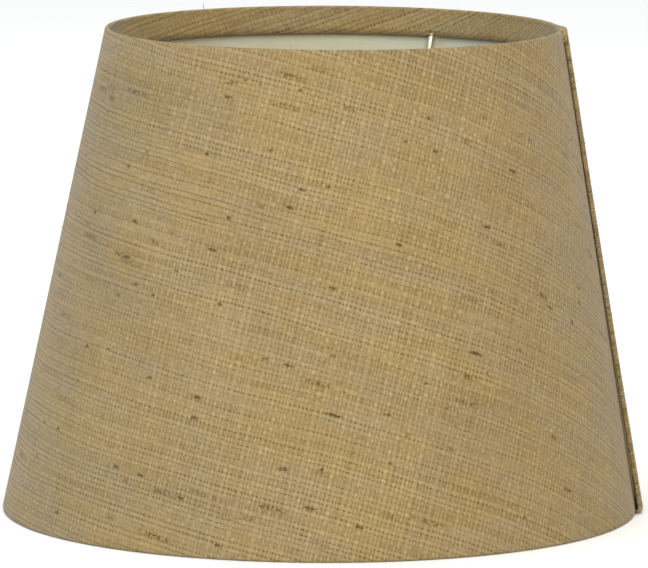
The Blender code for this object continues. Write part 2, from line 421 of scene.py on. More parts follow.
class Graph:
    """Writes nodes into a material or a node group, and hands back their output sockets."""

    def __init__(self, tree: bpy.types.NodeTree) -> None:
        """Takes the tree to write into."""
        self.tree = tree

    def node(self, kind: str, **settings: object) -> bpy.types.Node:
        """Adds a node and sets its properties."""
        made = self.tree.nodes.new(kind)
        for key, value in settings.items():
            setattr(made, key, value)
        return made

    def feed(self, socket: Socket, value: Number | Vector | Colour) -> None:
        """Links a socket to another, or sets its own value."""
        if isinstance(value, bpy.types.NodeSocket):
            self.tree.links.new(value, socket)
        elif socket.type == "RGBA":
            socket.default_value = (*value, 1)
        else:
            socket.default_value = value

    def math(self, operation: str, *values: Number, clamp: bool = False) -> Socket:
        """One Math node.

        Args:
            operation: The node's operation.
            values: Its inputs in order.
            clamp: Whether the result is kept between 0 and 1.

        Returns:
            The result.
        """
        made = self.node("ShaderNodeMath", operation=operation, use_clamp=clamp)
        for socket, value in zip(made.inputs, values):
            self.feed(socket, value)
        return made.outputs[0]

    def scaled(self, value: Socket, factor: Number, offset: Number = 0.0, clamp: bool = False) -> Socket:
        """A value times a factor, plus an offset."""
        return self.math("MULTIPLY_ADD", value, factor, offset, clamp=clamp)

    def vector(self, x: Number, y: Number, z: Number = 0.0) -> Socket:
        """Three numbers as one vector."""
        made = self.node("ShaderNodeCombineXYZ")
        for socket, value in zip(made.inputs, (x, y, z)):
            self.feed(socket, value)
        return made.outputs[0]

    def axes(self, vector: Socket) -> tuple[Socket, Socket, Socket]:
        """A vector as three numbers."""
        made = self.node("ShaderNodeSeparateXYZ")
        self.feed(made.inputs[0], vector)
        return made.outputs[0], made.outputs[1], made.outputs[2]

    def noise(
        self, vector: Socket, scale: float = 1.0, detail: float = 2.0, roughness: float = 0.5
    ) -> Socket:
        """Smooth noise, mostly from 0.3 to 0.7."""
        made = self.node("ShaderNodeTexNoise")
        self.feed(made.inputs["Vector"], vector)
        self.feed(made.inputs["Scale"], scale)
        self.feed(made.inputs["Detail"], detail)
        self.feed(made.inputs["Roughness"], roughness)
        return made.outputs[0]

    def patchy(
        self, across: Socket, along: Socket, rates: tuple[float, float], seed: float, detail: float = 1.0
    ) -> Socket:
        """Smooth noise over the threads.

        Args:
            across: Warp threads crossed.
            along: Weft threads crossed.
            rates: How fast it changes per thread, across and along.
            seed: Sets it apart from the other noises.
            detail: How many finer layers it has.

        Returns:
            The noise, mostly from 0.3 to 0.7.
        """
        place = self.vector(self.scaled(across, rates[0]), self.scaled(along, rates[1]), seed)
        return self.noise(place, detail=detail)

    def position(self) -> Socket:
        """The piece's own place in space."""
        return self.node("ShaderNodeTexCoord").outputs["Object"]

    def chance(self, x: Number, y: Number = 0.0, z: Number = 0.0) -> Socket:
        """A random value from 0 to 1 for each whole-numbered cell."""
        made = self.node("ShaderNodeTexWhiteNoise", noise_dimensions="3D")
        self.feed(made.inputs["Vector"], self.vector(x, y, z))
        return made.outputs[0]

    def remap(self, value: Socket, low: float, high: float) -> Socket:
        """A smooth step from 0 to 1 as the value goes from low to high."""
        made = self.node("ShaderNodeMapRange", interpolation_type="SMOOTHSTEP")
        for socket, number in zip(made.inputs, (value, low, high)):
            self.feed(socket, number)
        return made.outputs[0]

    def blend(self, share: Number, first: Socket | Colour, second: Socket | Colour) -> Socket:
        """Goes from the first colour to the second as the share goes from 0 to 1."""
        made = self.node("ShaderNodeMix", data_type="RGBA")
        self.feed(made.inputs[0], share)
        self.feed(made.inputs[6], first)
        self.feed(made.inputs[7], second)
        return made.outputs[2]

    def tint(self, colour: Socket | Colour, value: Socket) -> Socket:
        """A colour made darker or lighter by a value."""
        made = self.node("ShaderNodeVectorMath", operation="SCALE")
        if isinstance(colour, bpy.types.NodeSocket):
            self.feed(made.inputs[0], colour)
        else:
            made.inputs[0].default_value = colour
        self.feed(made.inputs["Scale"], value)
        return made.outputs[0]

    def bump(self, height: Socket, distance: float) -> Socket:
        """The normal that a height gives."""
        made = self.node("ShaderNodeBump")
        self.feed(made.inputs["Height"], height)
        made.inputs["Distance"].default_value = distance
        made.inputs["Strength"].default_value = 1.0
        return made.outputs[0]

    def place_group(self, group: bpy.types.ShaderNodeTree, **values: Number) -> dict[str, Socket]:
        """Places a node group.

        Args:
            group: The group.
            values: Its inputs, with spaces in their names as underscores.

        Returns:
            Its outputs by name.
        """
        made = self.node("ShaderNodeGroup", node_tree=group)
        for key, value in values.items():
            self.feed(made.inputs[key.replace("_", " ")], value)
        return {socket.name: socket for socket in made.outputs}


class GroupGraph(Graph):
    """A node group under construction."""

    def __init__(self, name: str, inputs: dict[str, str], outputs: Iterable[str]) -> None:
        """Makes the group and its sockets.

        Args:
            name: The group's name.
            inputs: The type of each input, Float or Vector.
            outputs: The names of its outputs, all floats.
        """
        super().__init__(bpy.data.node_groups.new(name, "ShaderNodeTree"))
        for key, kind in inputs.items():
            self.tree.interface.new_socket(key, in_out="INPUT", socket_type=f"NodeSocket{kind}")
        for key in outputs:
            self.tree.interface.new_socket(key, in_out="OUTPUT", socket_type="NodeSocketFloat")
        self.given = self.node("NodeGroupInput").outputs
        self.result = self.node("NodeGroupOutput").inputs

    def finish(self, **values: Socket) -> bpy.types.ShaderNodeTree:
        """Links the outputs, named with underscores for spaces, and hands over the group."""
        for key, value in values.items():
            self.feed(self.result[key.replace("_", " ")], value)
        return self.tree


class Effects:
    """The node groups that the finishes share."""

    def __init__(self) -> None:
        """Builds each group once."""
        self.weave = self._weave()
        self.yarn = self._yarn()
        self.handling = self._handling()

    @staticmethod
    def _weave() -> bpy.types.ShaderNodeTree:
        """Weave of uneven slub yarn. The warp runs in pairs, so it shows in every row. Line, Dip and
        Pinhole mark painted shade between the threads, and Crown marks a painted highlight on the warp's
        tops.
        """
        g = GroupGraph(
            "plain_weave",
            {"Threads": "Vector"},
            ("Height", "Warp", "Crown", "Line", "Pinhole", "Dip")
            + ("Weft tone", "Warp tone", "Speckle", "Slub"),
        )
        across, along, _ = g.axes(g.given["Threads"])
        sway = g.patchy(across, along, (0.03, 0.08), 0.0)
        along = g.math("ADD", along, g.scaled(sway, 1.6, -0.8))
        wander = g.patchy(across, along, (0.4, 0.03), 7.0)
        across = g.math("ADD", across, g.scaled(wander, 2.2, -1.1))
        warp_index = g.math("FLOOR", across)
        weft_index = g.math("FLOOR", along)
        warp_offset = g.math("SUBTRACT", g.math("FRACT", across), 0.5)
        warp_chance = g.chance(warp_index, 91.0)
        weft_chance = g.chance(weft_index, 17.0)
        weft_centre = g.scaled(g.chance(weft_index, 43.0), 0.22, 0.39)
        weft_offset = g.math("SUBTRACT", g.math("FRACT", along), weft_centre)
        crossing_chance = g.chance(warp_index, weft_index, 2.0)
        uneven = g.patchy(across, weft_index, (0.07, 3.7), 3.0, 2.0)
        weft_half = g.math("ADD", g.scaled(uneven, 0.46, 0.15), g.scaled(weft_chance, 0.14))
        lumpy = g.patchy(warp_index, along, (5.3, 0.09), 4.0)
        warp_half = g.math("ADD", g.scaled(lumpy, 0.24, 0.12), g.scaled(warp_chance, 0.14))
        warp_round = Effects._round(g, warp_offset, warp_half)
        weft_round = Effects._round(g, weft_offset, weft_half)
        parity = g.math("COSINE", g.scaled(g.math("ADD", warp_index, weft_index), math.pi))
        odd_share = g.scaled(parity, 0.15, 0.85)
        rows = g.math("ABSOLUTE", g.math("SINE", g.scaled(along, math.pi)))
        ends = g.math("ABSOLUTE", g.math("SINE", g.scaled(across, math.pi)))
        warp_over = g.math("MULTIPLY", rows, odd_share)
        weft_over = g.scaled(g.math("MULTIPLY", ends, odd_share), -1.0, 0.3)
        warp_height = g.math("MULTIPLY_ADD", warp_round, 0.70, g.scaled(warp_over, 0.36))
        weft_height = g.math("MULTIPLY_ADD", weft_round, 1.0, g.scaled(weft_over, 0.26))
        top = g.math("SMOOTH_MAX", warp_height, weft_height, 0.25)
        warp = g.remap(g.math("SUBTRACT", warp_height, weft_height), -0.2, 0.2)
        broad = g.patchy(across, along, (0.022, 0.03), 61.0, 2.0)
        side = g.scaled(g.math("SINE", g.scaled(across, 0.0185)), 0.16)
        lattice = g.remap(g.math("ADD", broad, side), 0.42, 0.62)
        even_chance = g.math("MAXIMUM", g.scaled(crossing_chance, 0.8, 0.2), g.scaled(lattice, 0.6))
        # Painted highlight: Crown picks out the top of each warp float for the paler straw colour.
        random_crown = g.math("MULTIPLY", g.remap(warp_over, 0.35, 1.0), even_chance)
        random_crown = g.math("MULTIPLY", random_crown, g.scaled(lattice, 0.75, 0.55))
        crown = g.math("MULTIPLY", g.math("MULTIPLY", warp, warp_round), random_crown)
        # Painted shade: Line darkens the gap between weft rows wherever no warp bridges it.
        beyond = g.math("SUBTRACT", g.math("ABSOLUTE", weft_offset), weft_half)
        bridged = g.math("MULTIPLY", warp_round, g.scaled(lattice, 0.5, 0.4))
        line = g.math("MULTIPLY", g.remap(beyond, -0.14, 0.14), g.scaled(bridged, -1.0, 1.0))
        # Painted shade: the open holes between threads are filled with a dark colour.
        open_places = g.patchy(across, along, (0.10, 0.45), 21.0, 2.0)
        hole = g.math("MULTIPLY", g.remap(beyond, -0.12, 0.06), g.remap(warp_round, 0.5, 0.05))
        open_share = g.math("MAXIMUM", g.remap(open_places, 0.44, 0.60), g.scaled(lattice, 0.75))
        pinhole_shade = g.math("MULTIPLY", hole, open_share)
        # Painted shade: Dip darkens the weft where it dips beside each warp.
        aside = g.remap(g.math("ABSOLUTE", warp_offset), 0.28, 0.5)
        between = g.math("MULTIPLY", aside, g.scaled(warp, -0.6, 1.0))
        dip_shade = g.math("MULTIPLY", between, g.scaled(lattice, 0.8, 0.2))
        cell = g.scaled(across, 1 / 11, g.scaled(weft_chance, 37.0))
        cell_index = g.math("FLOOR", cell)
        present = g.math("GREATER_THAN", g.chance(cell_index, weft_index, 5.0), 0.95)
        strength = g.math("POWER", g.chance(cell_index, weft_index, 13.0), 1.5)
        length = g.scaled(g.chance(cell_index, weft_index, 9.0), 0.30, 0.02)
        away = g.math("ABSOLUTE", g.math("SUBTRACT", g.math("FRACT", cell), 0.5))
        inside = g.remap(g.math("SUBTRACT", length, away), -0.14, 0.14)
        ragged = g.patchy(across, along, (1.1, 1.7), 33.0)
        body = g.math("MULTIPLY", g.remap(weft_round, 0.0, 0.9), g.remap(ragged, 0.35, 0.6))
        slub = g.math("MULTIPLY", g.math("MULTIPLY", present, inside), g.math("MULTIPLY", body, strength))
        slow = g.patchy(across, weft_index, (0.03, 1.9), 11.0, 2.0)
        dashes = g.patchy(across, weft_index, (0.55, 6.1), 51.0)
        weft_tone = g.math("ADD", g.scaled(slow, 0.55), g.scaled(weft_chance, 0.28, -0.13))
        weft_tone = g.math("ADD", weft_tone, g.scaled(dashes, 0.34))
        return g.finish(
            Height=g.scaled(top, 0.45, 0.22, clamp=True),
            Warp=warp,
            Crown=crown,
            Line=line,
            Pinhole=pinhole_shade,
            Dip=dip_shade,
            Weft_tone=weft_tone,
            Warp_tone=warp_chance,
            Speckle=crossing_chance,
            Slub=slub,
        )

    @staticmethod
    def _round(g: Graph, offset: Socket, half: Socket) -> Socket:
        """Height across a round thread: 1 on its crown and 0 beside it."""
        ratio = g.math("DIVIDE", offset, half)
        inside = g.math("SUBTRACT", 1.0, g.math("MULTIPLY", ratio, ratio))
        return g.math("SQRT", g.math("MAXIMUM", inside, 0.0))

    @staticmethod
    def _yarn() -> bpy.types.ShaderNodeTree:
        """Fine fibres twisted along a thread. Along runs with it, and Across over it, in thread widths."""
        g = GroupGraph("yarn_fibres", {"Along": "Float", "Across": "Float"}, ("Fibre",))
        skewed = g.math("ADD", g.given["Across"], g.scaled(g.given["Along"], 0.45))
        place = g.vector(g.scaled(g.given["Along"], 1.5), g.scaled(skewed, 3.2))
        fibres = g.noise(place, detail=3.0, roughness=0.6)
        return g.finish(Fibre=g.remap(fibres, 0.3, 0.7))

    @staticmethod
    def _handling() -> bpy.types.ShaderNodeTree:
        """Faint clouds and specks of handling and dust. Size is how wide a cloud is, in metres."""
        g = GroupGraph("handling", {"Position": "Vector", "Size": "Float"}, ("Clouds", "Specks"))
        scaled = g.node("ShaderNodeVectorMath", operation="DIVIDE")
        g.feed(scaled.inputs[0], g.given["Position"])
        g.feed(scaled.inputs[1], g.vector(g.given["Size"], g.given["Size"], g.given["Size"]))
        clouds = g.noise(scaled.outputs[0], detail=3.0)
        specks = g.noise(scaled.outputs[0], scale=26.0, detail=1.0)
        return g.finish(Clouds=g.remap(clouds, 0.35, 0.65), Specks=g.remap(specks, 0.68, 0.78))


def new_material(name: str, **constants: object) -> tuple[bpy.types.Material, Graph, bpy.types.Node]:
    """A material with a Principled shader.

    Args:
        name: The material's name.
        constants: Values for the shader's own sockets, with underscores for spaces.

    Returns:
        The material, its graph and its shader node.
    """
    made = bpy.data.materials.new(name)
    made.use_nodes = True
    graph = Graph(made.node_tree)
    shader = made.node_tree.nodes["Principled BSDF"]
    for key, value in constants.items():
        graph.feed(shader.inputs[key.replace("_", " ")], value)
    return made, graph, shader


@dataclass(frozen=True)
class ClothFinish:
    """Golden tan slub weave, with straw warp, darker weft runs and a greyer cast in patches. The straw tone
    sits only on the warp's crowns, partly a painted highlight, and the dark gaps and holes between threads
    are painted shade.
    """

    golden: Colour = (0.285, 0.200, 0.084)
    beige: Colour = (0.272, 0.200, 0.100)
    dark_weft: Colour = (0.175, 0.115, 0.038)
    # The straw tone is the warp's own paler colour, painted only on its crowns, so partly a painted
    # highlight.
    straw: Colour = (0.360, 0.278, 0.132)
    # Painted shade for the gaps between weft rows and beside the warps.
    line: Colour = (0.118, 0.070, 0.018)
    slub: Colour = (0.078, 0.042, 0.005)
    # Painted shade for the open holes between threads.
    hole_shade: Colour = (0.045, 0.022, 0.004)
    relief: float = 0.00026

    def material(self, effects: Effects) -> bpy.types.Material:
        """Builds the cloth from the weave, yarn and handling groups."""
        made, g, shader = new_material(
            "slub_cloth",
            Roughness=0.82,
            Specular_IOR_Level=0.2,
            Sheen_Weight=0.11,
            Sheen_Roughness=0.5,
            Sheen_Tint=(0.95, 0.97, 1.0),
        )
        threads = g.node("ShaderNodeUVMap", uv_map=THREAD_MAP).outputs[0]
        across, along, _ = g.axes(threads)
        weave = g.place_group(effects.weave, Threads=threads)
        weft_fibre = g.place_group(effects.yarn, Along=across, Across=along)["Fibre"]
        warp_fibre = g.place_group(effects.yarn, Along=along, Across=across)["Fibre"]
        patches = g.patchy(across, along, (0.05, 0.11), 0.0, 2.0)
        colour = g.blend(g.remap(patches, 0.38, 0.62), self.golden, self.beige)
        on_weft = g.scaled(weave["Warp"], -0.7, 1.0)
        dark = g.math("MULTIPLY", g.remap(weave["Weft tone"], 0.30, 0.95), on_weft)
        colour = g.blend(dark, colour, self.dark_weft)
        # Painted highlight: the straw tone goes only on the warp's crowns.
        pale = g.math("MULTIPLY", weave["Crown"], g.scaled(weave["Warp tone"], 0.5, 0.15))
        colour = g.blend(pale, colour, self.straw)
        # Painted shade in the gaps between weft rows.
        colour = g.blend(g.scaled(weave["Line"], 0.75), colour, self.line)
        # Painted shade in the dips beside the warps.
        colour = g.blend(g.scaled(weave["Dip"], 0.10), colour, self.line)
        # Painted shade in the holes between threads.
        colour = g.blend(g.scaled(weave["Pinhole"], 0.40), colour, self.hole_shade)
        lump = g.node("ShaderNodeAttribute", attribute_name=SLUB_ATTRIBUTE).outputs["Fac"]
        under_warp = g.scaled(weave["Crown"], -0.6, 1.0)
        slub = g.math("MULTIPLY", g.math("MAXIMUM", weave["Slub"], lump), under_warp)
        colour = g.blend(slub, colour, self.slub)
        fibre = g.blend(weave["Warp"], weft_fibre, warp_fibre)
        grain = g.math("ADD", g.scaled(fibre, 0.40, 0.74), g.scaled(weave["Speckle"], 0.14))
        colour = g.tint(colour, grain)
        position = g.position()
        handling = g.place_group(effects.handling, Position=position, Size=0.03)
        colour = g.tint(colour, g.scaled(handling["Clouds"], 0.06, 0.97))
        g.feed(shader.inputs["Base Color"], colour)
        relief = g.math("ADD", weave["Height"], g.scaled(fibre, 0.07))
        g.feed(shader.inputs["Normal"], g.bump(relief, self.relief))
        return made


@dataclass(frozen=True)
class FibreFinish:
    """Loose or lumpy fibre: mottled along its own length."""

    name: str
    pale: Colour
    dark: Colour

    def material(self, effects: Effects) -> bpy.types.Material:
        """Builds the fibre's material on its own place in space."""
        made, g, shader = new_material(self.name, Roughness=0.85, Specular_IOR_Level=0.3)
        position = g.position()
        handling = g.place_group(effects.handling, Position=position, Size=0.0012)
        fine = g.noise(position, scale=6000.0, detail=2.0)
        g.feed(shader.inputs["Base Color"], g.blend(handling["Clouds"], self.dark, self.pale))
        g.feed(shader.inputs["Normal"], g.bump(fine, 0.00004))
        return made


@dataclass(frozen=True)
class LiningFinish:
    """Off-white lining film: an eggshell surface with a fine grain, faint clouds and a little dust."""

    name: str
    white: Colour = (0.62, 0.60, 0.475)
    aged: Colour = (0.58, 0.55, 0.405)
    dust: Colour = (0.46, 0.42, 0.31)

    def material(self, effects: Effects) -> bpy.types.Material:
        """Builds the film's material."""
        made, g, shader = new_material(
            self.name,
            Specular_IOR_Level=0.4,
            Subsurface_Weight=0.08,
            Subsurface_Radius=(0.004, 0.0035, 0.0025),
            Subsurface_Scale=0.5,
        )
        position = g.position()
        handling = g.place_group(effects.handling, Position=position, Size=0.025)
        grain = g.noise(position, scale=1500.0, detail=3.0)
        colour = g.blend(g.scaled(handling["Clouds"], 0.7), self.white, self.aged)
        colour = g.blend(g.scaled(handling["Specks"], 0.5), colour, self.dust)
        g.feed(shader.inputs["Base Color"], colour)
        g.feed(shader.inputs["Roughness"], g.scaled(grain, 0.25, 0.42))
        g.feed(shader.inputs["Normal"], g.bump(grain, 0.00003))
        return made


@dataclass(frozen=True)
class PlatedFinish:
    """Bright plated steel: drawn lines, a yellowed lacquer in places and dull specks."""

    name: str
    bright: Colour = (0.74, 0.71, 0.58)
    yellowed: Colour = (0.55, 0.47, 0.28)
    dull: Colour = (0.20, 0.18, 0.14)

    def material(self, effects: Effects) -> bpy.types.Material:
        """Builds the plating."""
        made, g, shader = new_material(self.name, Metallic=1.0, Specular_IOR_Level=0.5)
        position = g.position()
        clouds = g.place_group(effects.handling, Position=position, Size=0.006)
        drawn = g.noise(position, scale=2500.0, detail=2.0)
        colour = g.blend(g.scaled(clouds["Clouds"], 0.75), self.bright, self.yellowed)
        colour = g.blend(g.scaled(clouds["Specks"], 0.6), colour, self.dull)
        g.feed(shader.inputs["Base Color"], colour)
        g.feed(shader.inputs["Roughness"], g.scaled(clouds["Clouds"], 0.2, 0.32))
        g.feed(shader.inputs["Normal"], g.bump(drawn, 0.00002))
        return made


@dataclass(frozen=True)
class StudioFinish:
    """Matt studio paper for the floor."""

    paper: Colour = (0.93, 0.93, 0.93)

    def material(self) -> bpy.types.Material:
        """Builds the paper with a faint tooth."""
        made, g, shader = new_material("studio_paper", Base_Color=self.paper, Roughness=0.95)
        position = g.position()
        g.feed(shader.inputs["Normal"], g.bump(g.noise(position, scale=900.0), 0.00002))
        return made


# ---------------------------------------------------------------------------------------------------
# The shade's pieces
# ---------------------------------------------------------------------------------------------------


class End(Enum):
    """The two ends of the wall."""

    TOP = "top"
    BOTTOM = "bottom"


@dataclass(frozen=True)
class Row:
    """One line of the cover round the shade: where it lies, and its distance down the flat cut."""

    depth: float
    down: float
    cut: float
    lift_share: float
    drop_share: float


@dataclass
class Cover:
    """The woven cover: the wall, its folds over both rims, its rolls round the rings and its hem."""

    form: ShadeForm
    seam: Seam
    plane: ThreadPlane
    wall_rows: int = 76
    wall_columns: int = 333
    seam_columns: int = 8
    fold_steps: int = 8
    roll_steps: int = 9
    hem_steps: int = 8
    tuck: float = math.radians(120)
    slit_before: float = 0.00115
    slit_after: float = 0.0024
    roll_slack: float = 0.0001
    waver: float = 0.00006
    pucker: float = 0.00018
    crease: float = 0.00015
    hem_waver: float = 0.00016
    corner_drop: float = 0.0034
    corner_reach: float = 0.0030

    def setback(self, end: End) -> float:
        """Slant distance from a rim's corner to the ring behind it."""
        node = "top_ring" if end is End.TOP else "bottom_ring"
        low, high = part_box(node)
        fall = self.form.height - (low.z + high.z) / 2
        down = (fall - self.form.stock.ring_depth * math.sin(self.form.taper)) / math.cos(self.form.taper)
        return down if end is End.TOP else self.form.slant - down

    def turned_in(self, end: End) -> list[Row]:
        """The cover's mid-line over a rim and round the ring behind it.

        Args:
            end: Which rim.

        Returns:
            Rows from the wall to the raw edge.
        """
        stock = self.form.stock
        inward = -1 if end is End.TOP else 1
        outer, inner = stock.cloth / 2, stock.turn_in_depth
        middle, radius = (outer + inner) / 2, (inner - outer) / 2
        lean = middle * math.sin(self.form.taper) * inward
        fold_down = (radius + stock.cloth / 2 + lean) / math.cos(self.form.taper)
        places = []
        for turn in spread(0, math.pi, self.fold_steps):
            share = (1 + math.cos(turn)) / 2
            depth, down = middle - radius * math.cos(turn), fold_down - radius * math.sin(turn)
            places.append((depth, down, share, 1.0))
        setback = self.setback(end)
        to_ring = Vector((stock.ring_depth - inner, setback - fold_down))
        slope = math.atan2(to_ring.x, to_ring.y) + math.asin(stock.roll_radius / to_ring.length)
        for turn in spread(-slope, self.tuck, self.roll_steps):
            depth = stock.ring_depth + stock.roll_radius * math.cos(turn)
            slack = self.roll_slack * max(0.0, math.sin(turn))
            places.append((depth, setback + stock.roll_radius * math.sin(turn) + slack, 0.0, 0.0))
        first_roll = self.fold_steps + 1
        fold_end, roll_start = places[first_roll - 1], places[first_roll]
        places[first_roll:first_roll] = [
            tuple(a + (b - a) * share for a, b in zip(fold_end, roll_start)) for share in (0.33, 0.67)
        ]
        rows, travelled, last = [], 0.0, places[0]
        for depth, down, share, drop in places:
            travelled += math.hypot(depth - last[0], down - last[1])
            last = (depth, down)
            if end is End.TOP:
                rows.append(Row(depth, down, fold_down - travelled, share, drop))
            else:
                far = self.form.slant
                rows.append(Row(depth, far - down, far - fold_down + travelled, share, drop))
        return rows

    def rows(self) -> list[Row]:
        """Every row of the cover, from the raw edge inside the top to the raw edge inside the bottom."""
        top, bottom = self.turned_in(End.TOP), self.turned_in(End.BOTTOM)
        wall = [
            Row(self.form.stock.cloth / 2, down, down, 1.0, 1.0)
            for down in spread(top[0].down, bottom[0].down, self.wall_rows)[1:-1]
        ]
        return top[::-1] + wall + bottom

    def columns(self) -> list[tuple[float, float, float]]:
        """Every column of the cover, as (azimuth, distance in from the lap, distance past the edge)."""
        seam = self.seam
        lap_start = seam.end + seam.overlap
        ramp_start = lap_start + seam.ramp
        azimuths = spread(seam.start, seam.edge, 4)
        azimuths += spread(seam.edge - seam.turn_in_gap, ramp_start, self.wall_columns)
        azimuths += spread(ramp_start, lap_start, self.seam_columns)[1:]
        azimuths += spread(lap_start, seam.end, self.seam_columns)[1:]
        azimuths = self.fit_slits(azimuths)
        columns = [(azimuth, 0.0, 0.0) for azimuth in azimuths]
        for turn in spread(0, math.pi, self.hem_steps)[1:]:
            drop = seam.hem_radius * (1 - math.cos(turn))
            columns.append((seam.end, drop, seam.hem_radius * math.sin(turn)))
        columns.append((seam.end, 2 * seam.hem_radius, -seam.hem_return))
        return columns

    def fit_slits(self, azimuths: list[float]) -> list[float]:
        """Puts three columns at each spoke's slit, and takes away the ones that would crowd them.

        Args:
            azimuths: The columns, falling.

        Returns:
            The columns, still falling, with one on each side of every slit.
        """
        ring_radius = self.form.profile(self.form.stock.ring_depth, self.setback(End.TOP))[0]
        before, after = self.slit_before / ring_radius, self.slit_after / ring_radius
        room = 0.4 * abs(azimuths[-30] - azimuths[-31])
        fitted = list(azimuths)
        for spoke in Carrier.spoke_azimuths():
            centre = spoke if spoke < self.seam.edge else spoke - 2 * math.pi
            sides = (centre + before, centre, centre - after)
            fitted = [a for a in fitted if not sides[2] - room < a < sides[0] + room]
            fitted = sorted([*fitted, *sides], reverse=True)
        return fitted

    def relief(self, row: Row, azimuth: float) -> float:
        """How far the cloth stands off its even surface: a waver, and puckers where it is turned in."""
        turned = 1 - row.lift_share
        x, y = math.cos(azimuth), math.sin(azimuth)
        waver = ripple(3, 6 * x, 6 * y, row.cut * 25)
        puckers = ripple(8, 24 * x, 24 * y, row.cut * 170)
        creases = ripple(5, row.cut * 420 + azimuth * 26, azimuth * 9)
        return self.waver * waver + turned * (self.pucker * puckers + self.crease * max(0.0, creases))

    def corner(self, down: float, from_hem: float) -> float:
        """How far the lap's two corners are drawn in from the rims.

        Args:
            down: Slant distance down from the top corner.
            from_hem: Distance round the shade from the hem.

        Returns:
            The way to move down the slant, which is negative near the bottom rim.
        """
        near = max(0.0, 1 - from_hem / self.corner_reach) ** 2
        top = max(0.0, 1 - max(0.0, down) / 0.008)
        bottom = max(0.0, 1 - max(0.0, self.form.slant - down) / 0.005)
        return self.corner_drop * near * (top - 0.15 * bottom)

    def build(self, finish: bpy.types.Material) -> bpy.types.Object:
        """Makes the cover.

        Args:
            finish: The cloth's material.

        Returns:
            The cover.
        """
        rows, columns = self.rows(), self.columns()
        first_wall = next(i for i, row in enumerate(rows) if row.lift_share == 1)
        last_wall = max(i for i, row in enumerate(rows) if row.lift_share == 1)

        def place(column: int, row: int) -> Vector | None:
            """Where a vertex goes. The first edge, under the lap, has no turn-ins."""
            azimuth, drop, past = columns[column]
            line = rows[row]
            if azimuth > self.seam.edge - self.seam.turn_in_gap and not first_wall <= row <= last_wall:
                return None
            lift = self.seam.lift_at(azimuth, line.down / self.form.slant) - drop
            lift = line.lift_share * lift + self.relief(line, azimuth)
            radius = self.form.profile(line.depth, line.down)[0]
            hem_wave = self.hem_waver * ripple(13, line.cut * 160) if azimuth == self.seam.end else 0.0
            shift = (past + hem_wave) * line.lift_share / radius
            down = line.down + line.drop_share * self.corner(line.down, (azimuth - self.seam.end) * radius)
            return self.form.point(line.depth - lift, down, azimuth - shift)

        def threads(column: int, row: int) -> Vector:
            """The thread counts of a vertex, which run on over the rims and the hem."""
            azimuth, _, past = columns[column]
            radius = self.form.profile(0, rows[row].cut)[0]
            return self.plane.threads(rows[row].cut, azimuth - past / radius)

        bm = bent_sheet(len(columns), len(rows), place, threads)
        self.cut_slits(bm)
        cover = add_piece("woven_cover", bm, finish, SHEET_WORK)
        thicken(cover, self.form.stock.cloth)
        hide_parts("fabric_cover")
        return cover

    def cut_slits(self, bm: bmesh.types.BMesh) -> None:
        """Opens the underside of the top roll where each spoke comes out."""
        ring_radius, ring_height = self.form.profile(self.form.stock.ring_depth, self.setback(End.TOP))
        doomed = []
        for face in bm.faces:
            middle = face.calc_center_median()
            if not ring_height - 2.2 * self.form.stock.roll_radius < middle.z < ring_height:
                continue
            if abs(math.hypot(middle.x, middle.y) - ring_radius) > self.form.stock.roll_radius:
                continue
            azimuth = math.atan2(middle.y, middle.x)
            for spoke in Carrier.spoke_azimuths():
                away = math.remainder(azimuth - spoke, 2 * math.pi) * ring_radius
                below = ring_height - middle.z > self.form.stock.roll_radius * 0.75
                if -self.slit_after < away < (self.slit_before if below else 0.0):
                    doomed.append(face)
        bmesh.ops.delete(bm, geom=doomed, context="FACES")

    def declare(self, cover: bpy.types.Object) -> None:
        """Says what the cover was cut to: a band of a ring, measured on the flat."""
        rows = self.rows()
        span = self.seam.start - self.seam.end
        declare_band(cover, self.form, rows[0].cut, rows[-1].cut, span)


def declare_band(
    piece: bpy.types.Object,
    form: ShadeForm,
    first: float,
    last: float,
    azimuth_span: float,
) -> None:
    """Logs the flat size of a sheet that was cut as a band of a ring.

    Args:
        piece: The sheet.
        form: The shade's form.
        first: Where the cut starts, as a distance down from the top corner.
        last: Where it ends.
        azimuth_span: The azimuth that it goes through on the shade.
    """
    inner, outer = form.apex_to_top + first, form.apex_to_top + last
    span = azimuth_span * math.sin(form.taper)
    width = 2 * outer * math.sin(span / 2)
    length = outer - inner * math.cos(span / 2)
    area = span * (outer**2 - inner**2) / 2
    sizes = (width * 1e3, length * 1e3, area)
    log.info("%s: cut %.0f by %.0f mm, %.4f square metres", piece.name, *sizes)


@dataclass(frozen=True)
class Slub:
    """One lump of dark fibre spun into a weft thread."""

    azimuth: float
    height: float
    length: float
    darkness: float


